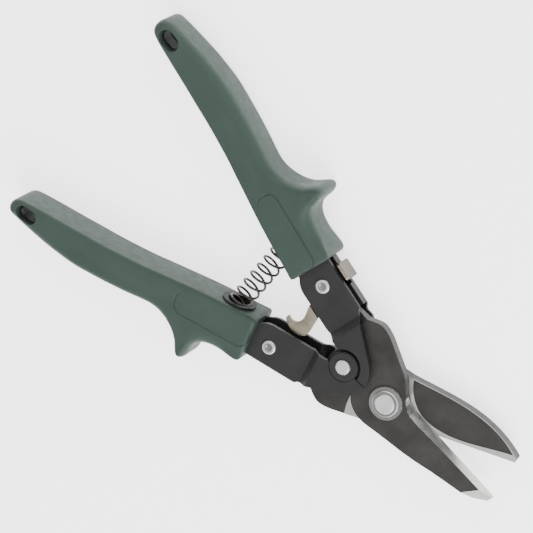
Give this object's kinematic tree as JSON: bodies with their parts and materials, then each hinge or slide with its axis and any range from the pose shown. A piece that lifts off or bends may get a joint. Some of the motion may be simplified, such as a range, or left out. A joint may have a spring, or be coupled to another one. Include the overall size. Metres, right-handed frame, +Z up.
{
  "type": "aviation snips",
  "caption": "Compound-action sheet-metal snips, handles open, with moulded grips, coil return spring, thumb latch and bolted blades",
  "frame": {"origin": "centre of the bounding box in X and Y, on the floor plane the open tool lies on", "axes": "+X along the handles' centre line toward the blade tips, +Y toward the upper handle, +Z up out of the flat side with the pivot bolt's head"},
  "size_m": [0.2536, 0.125, 0.022],
  "materials": {
    "grip_green": "moulded grip plastic, satin, fine grain",
    "black_steel": "black coated pressed steel, satin",
    "blade_steel": "dark forged steel with bright ground edges",
    "zinc_steel": "bright zinc-plated steel",
    "latch_steel": "nickel-plated sheet steel",
    "spring_steel": "black oiled spring wire",
    "black_plastic": "black moulded plastic"
  },
  "bodies": {
    "lower_handle": {"lower_grip": "grip_green", "lower_channel": "black_steel", "handle_rivet": "zinc_steel", "handle_bush": "zinc_steel", "lower_tail_rivet": "zinc_steel", "lower_tail_spacer": "zinc_steel", "lower_spring_cup": "black_plastic", "return_spring": "spring_steel"},
    "upper_handle": {"upper_grip": "grip_green", "upper_channel": "black_steel", "upper_tail_rivet": "zinc_steel", "upper_spring_cup": "black_plastic", "latch_wave_washer": "spring_steel"},
    "front_blade": {"front_blade": "blade_steel"},
    "rear_blade": {"rear_blade": "blade_steel", "pivot_bolt": "zinc_steel", "pivot_washer": "zinc_steel", "pivot_rear_washer": "zinc_steel", "pivot_nut": "zinc_steel"},
    "latch": {"latch": "latch_steel"}
  },
  "joints": [
    {"name": "handle_hinge", "type": "hinge", "parent": "lower_handle", "child": "upper_handle", "pos_m": [0.03853, 0, 0.011], "axis": [0, 0, 1], "range_deg": [0, 31], "stiffness_Nm_per_rad": 1.7, "springref_deg": -6.88, "deforming": ["return_spring"]},
    {"name": "front_blade_hinge", "type": "hinge", "parent": "upper_handle", "child": "front_blade", "pos_m": [0.00723, 0.0203, 0.011], "axis": [0, 0, 1], "range_deg": [-6.5, 0]},
    {"name": "rear_blade_hinge", "type": "hinge", "parent": "lower_handle", "child": "rear_blade", "pos_m": [0.00723, -0.0203, 0.011], "axis": [0, 0, 1], "range_deg": [0, 6.5]},
    {"name": "latch_hinge", "type": "hinge", "parent": "upper_handle", "child": "latch", "pos_m": [0.00723, 0.0203, 0.011], "axis": [0, 0, 1], "range_deg": [-14, 0]}
  ],
  "couplings": [
    {"joint": "front_blade_hinge", "follows": "handle_hinge", "ratio": -0.2094},
    {"joint": "rear_blade_hinge", "follows": "handle_hinge", "ratio": 0.2094}
  ]
}
